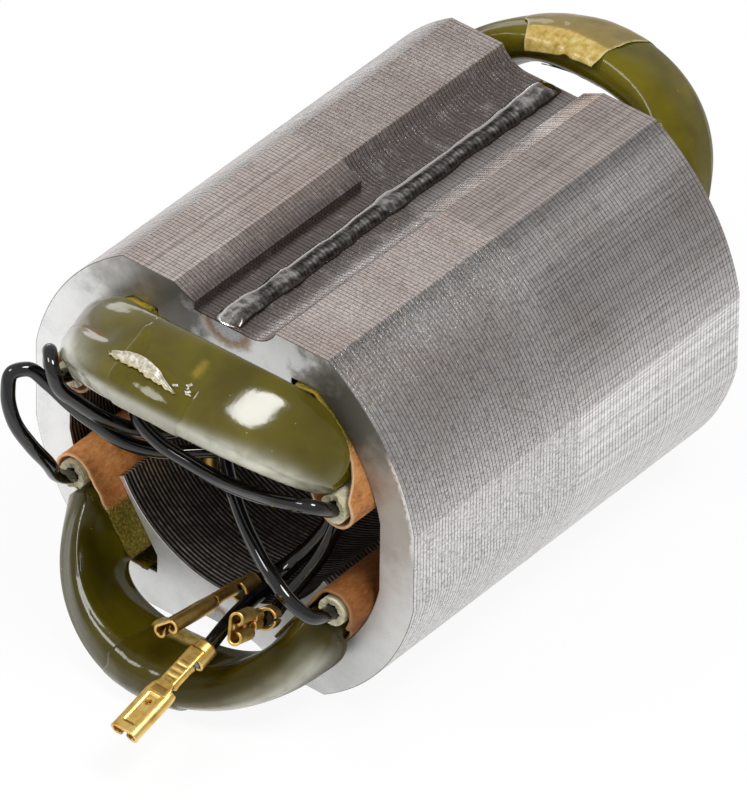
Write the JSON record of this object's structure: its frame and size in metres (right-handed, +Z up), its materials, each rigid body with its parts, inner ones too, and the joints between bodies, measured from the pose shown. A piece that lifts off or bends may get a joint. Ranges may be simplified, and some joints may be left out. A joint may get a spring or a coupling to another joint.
{
  "type": "motor stator",
  "caption": "Laminated steel field stator of a universal motor with resin-coated field coils, paper slot liners and short black leads that end in brass push-on terminals.",
  "frame": {"origin": "centre of the rotor bore, halfway along the lamination stack", "axes": "+Y along the motor axis, away from the leads; +Z up, towards the upper flats; +X to the right seen from the lead end"},
  "size_m": [0.0508, 0.0921, 0.0438],
  "materials": {
    "lamination_steel": "bare electrical-steel sheet edges, dull, with zinc-grey end faces",
    "weld_metal": "bright rippled weld",
    "coil_resin": "glossy olive impregnating resin",
    "liner_paper": "matte orange-brown fish paper",
    "wrap_tape": "resin-soaked golden paper tape",
    "sleeve_fibre": "cream fibreglass sleeve",
    "splice_solder": "soldered copper strand",
    "lead_insulation": "glossy black wire insulation",
    "terminal_brass": "bright stamped brass"
  },
  "bodies": {
    "root": {"front_pack": "lamination_steel", "rear_pack": "lamination_steel", "weld_bead_top": "weld_metal", "weld_bead_bottom": "weld_metal", "upper_coil": "coil_resin", "lower_coil": "coil_resin", "liner_upper_left": "liner_paper", "liner_upper_right": "liner_paper", "liner_lower_left": "liner_paper", "liner_lower_right": "liner_paper", "front_wrap_upper": "wrap_tape", "front_wrap_lower": "wrap_tape", "rear_wrap_upper": "wrap_tape", "rear_wrap_lower": "wrap_tape", "sleeve_upper_left": "sleeve_fibre", "sleeve_upper_right": "sleeve_fibre", "sleeve_lower_left": "sleeve_fibre", "sleeve_lower_right": "sleeve_fibre", "splice_upper_left": "splice_solder", "splice_upper_right": "splice_solder", "splice_lower_left": "splice_solder", "splice_lower_right": "splice_solder", "lead_upper_left": "lead_insulation", "lead_upper_right": "lead_insulation", "lead_lower_left": "lead_insulation", "lead_lower_right": "lead_insulation", "terminal_upper_left": "terminal_brass", "terminal_upper_right": "terminal_brass", "terminal_lower_left": "terminal_brass", "terminal_lower_right": "terminal_brass"}
  },
  "joints": []
}
